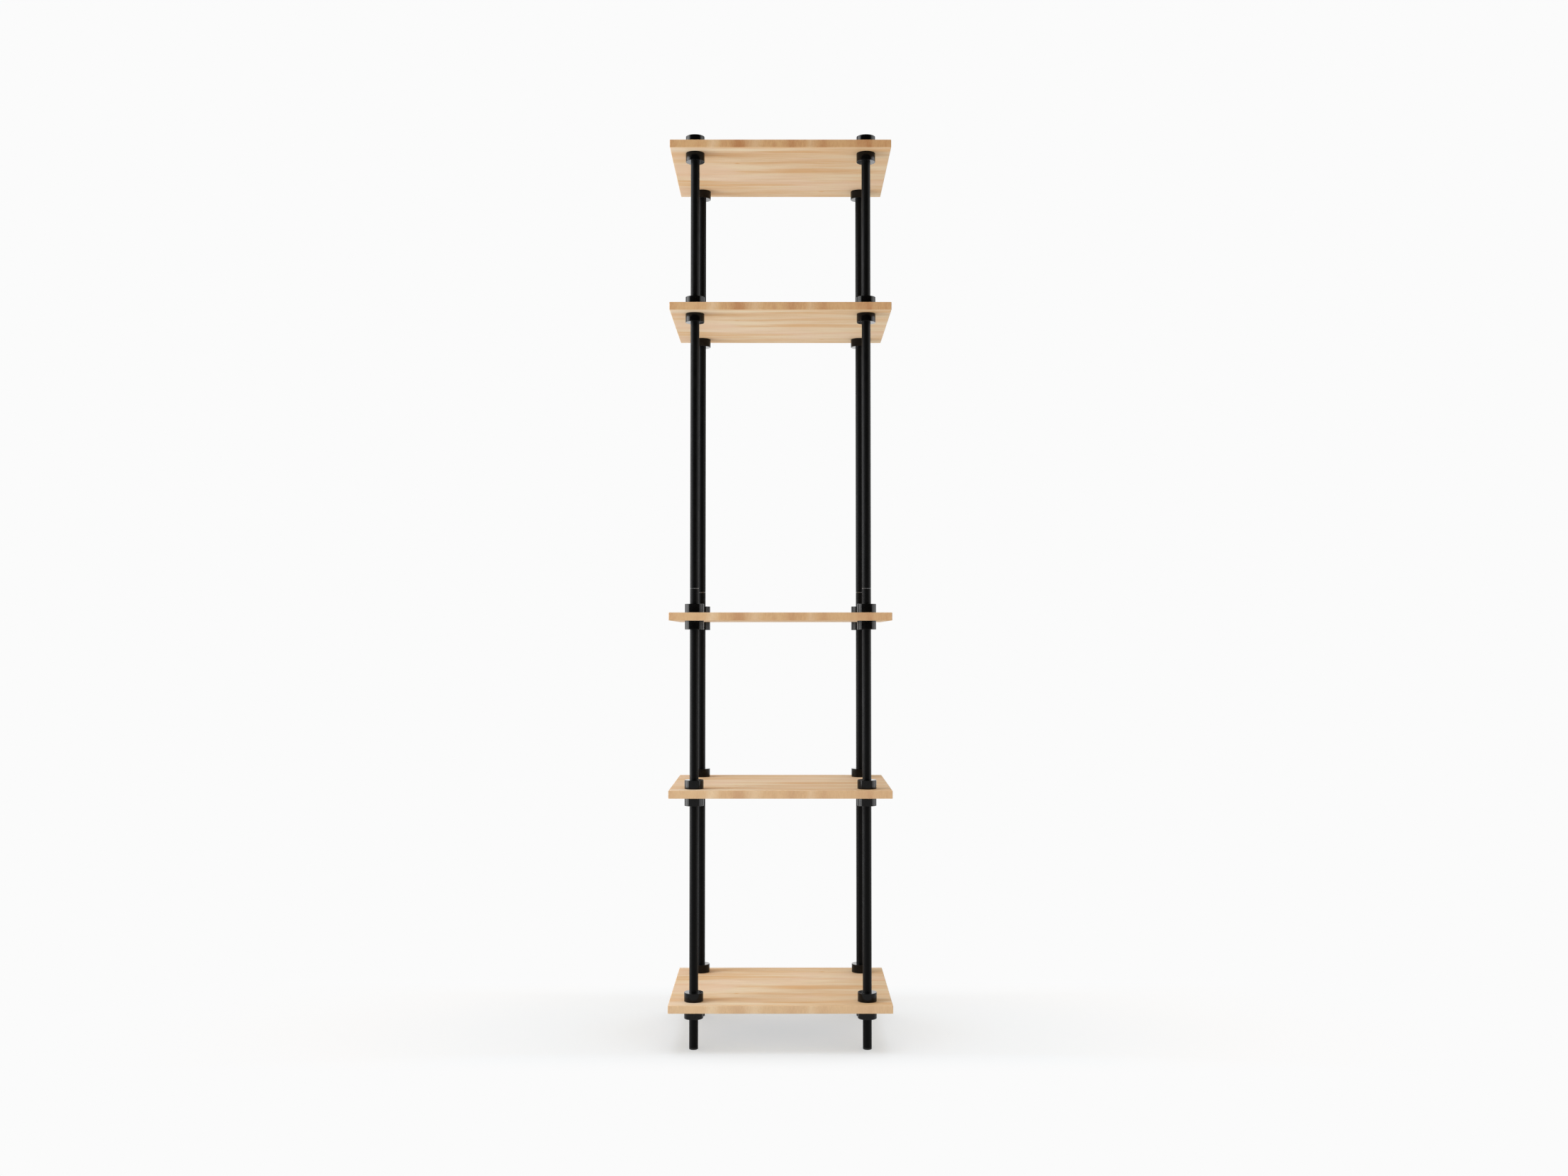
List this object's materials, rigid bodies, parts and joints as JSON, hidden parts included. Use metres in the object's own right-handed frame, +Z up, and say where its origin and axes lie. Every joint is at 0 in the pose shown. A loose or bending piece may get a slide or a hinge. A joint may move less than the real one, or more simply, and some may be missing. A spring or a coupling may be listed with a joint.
{
  "type": "pipe shelving unit",
  "caption": "Tall open shelving unit: light wood boards on four black steel tube posts, held by shaft collars above and below each board.",
  "frame": {"origin": "on the floor, in the middle of the footprint", "axes": "+Z up along the posts; +X to the right seen from the front; +Y to the rear"},
  "size_m": [0.5, 0.39, 2.067],
  "materials": {
    "board_wood": "light oiled wood, matt to satin",
    "tube_black": "black powder coat, satin",
    "collar_black": "black oxide, semi-gloss",
    "screw_black": "black oxide",
    "coupling_steel": "turned, bare",
    "plug_plastic": "moulded, fine grain",
    "glide_plastic": "moulded, fine grain"
  },
  "bodies": {
    "frame": {"foot_glide_front_left": "glide_plastic", "lower_tube_front_left": "tube_black", "coupling_front_left": "coupling_steel", "upper_tube_front_left": "tube_black", "top_plug_front_left": "plug_plastic", "foot_glide_front_right": "glide_plastic", "lower_tube_front_right": "tube_black", "coupling_front_right": "coupling_steel", "upper_tube_front_right": "tube_black", "top_plug_front_right": "plug_plastic", "foot_glide_rear_left": "glide_plastic", "lower_tube_rear_left": "tube_black", "coupling_rear_left": "coupling_steel", "upper_tube_rear_left": "tube_black", "top_plug_rear_left": "plug_plastic", "foot_glide_rear_right": "glide_plastic", "lower_tube_rear_right": "tube_black", "coupling_rear_right": "coupling_steel", "upper_tube_rear_right": "tube_black", "top_plug_rear_right": "plug_plastic"},
    "shelf_1": {"shelf_1_board": "board_wood", "shelf_1_collars_above": "collar_black", "shelf_1_collars_below": "collar_black", "shelf_1_set_screws": "screw_black"},
    "shelf_2": {"shelf_2_board": "board_wood", "shelf_2_collars_above": "collar_black", "shelf_2_collars_below": "collar_black", "shelf_2_set_screws": "screw_black"},
    "shelf_3": {"shelf_3_board": "board_wood", "shelf_3_collars_above": "collar_black", "shelf_3_collars_below": "collar_black", "shelf_3_set_screws": "screw_black"},
    "shelf_4": {"shelf_4_board": "board_wood", "shelf_4_collars_above": "collar_black", "shelf_4_collars_below": "collar_black", "shelf_4_set_screws": "screw_black"},
    "shelf_5": {"shelf_5_board": "board_wood", "shelf_5_collars_above": "collar_black", "shelf_5_collars_below": "collar_black", "shelf_5_set_screws": "screw_black"}
  },
  "joints": [
    {"name": "shelf_1_slide", "type": "slide", "parent": "frame", "child": "shelf_1", "axis": [0, 0, 1], "range_m": [-0.06, 0.2]},
    {"name": "shelf_2_slide", "type": "slide", "parent": "frame", "child": "shelf_2", "axis": [0, 0, 1], "range_m": [-0.2, 0.16]},
    {"name": "shelf_3_slide", "type": "slide", "parent": "frame", "child": "shelf_3", "axis": [0, 0, 1], "range_m": [-0.16, 0.31]},
    {"name": "shelf_4_slide", "type": "slide", "parent": "frame", "child": "shelf_4", "axis": [0, 0, 1], "range_m": [-0.31, 0.145]},
    {"name": "shelf_5_slide", "type": "slide", "parent": "frame", "child": "shelf_5", "axis": [0, 0, 1], "range_m": [-0.145, 0]}
  ]
}
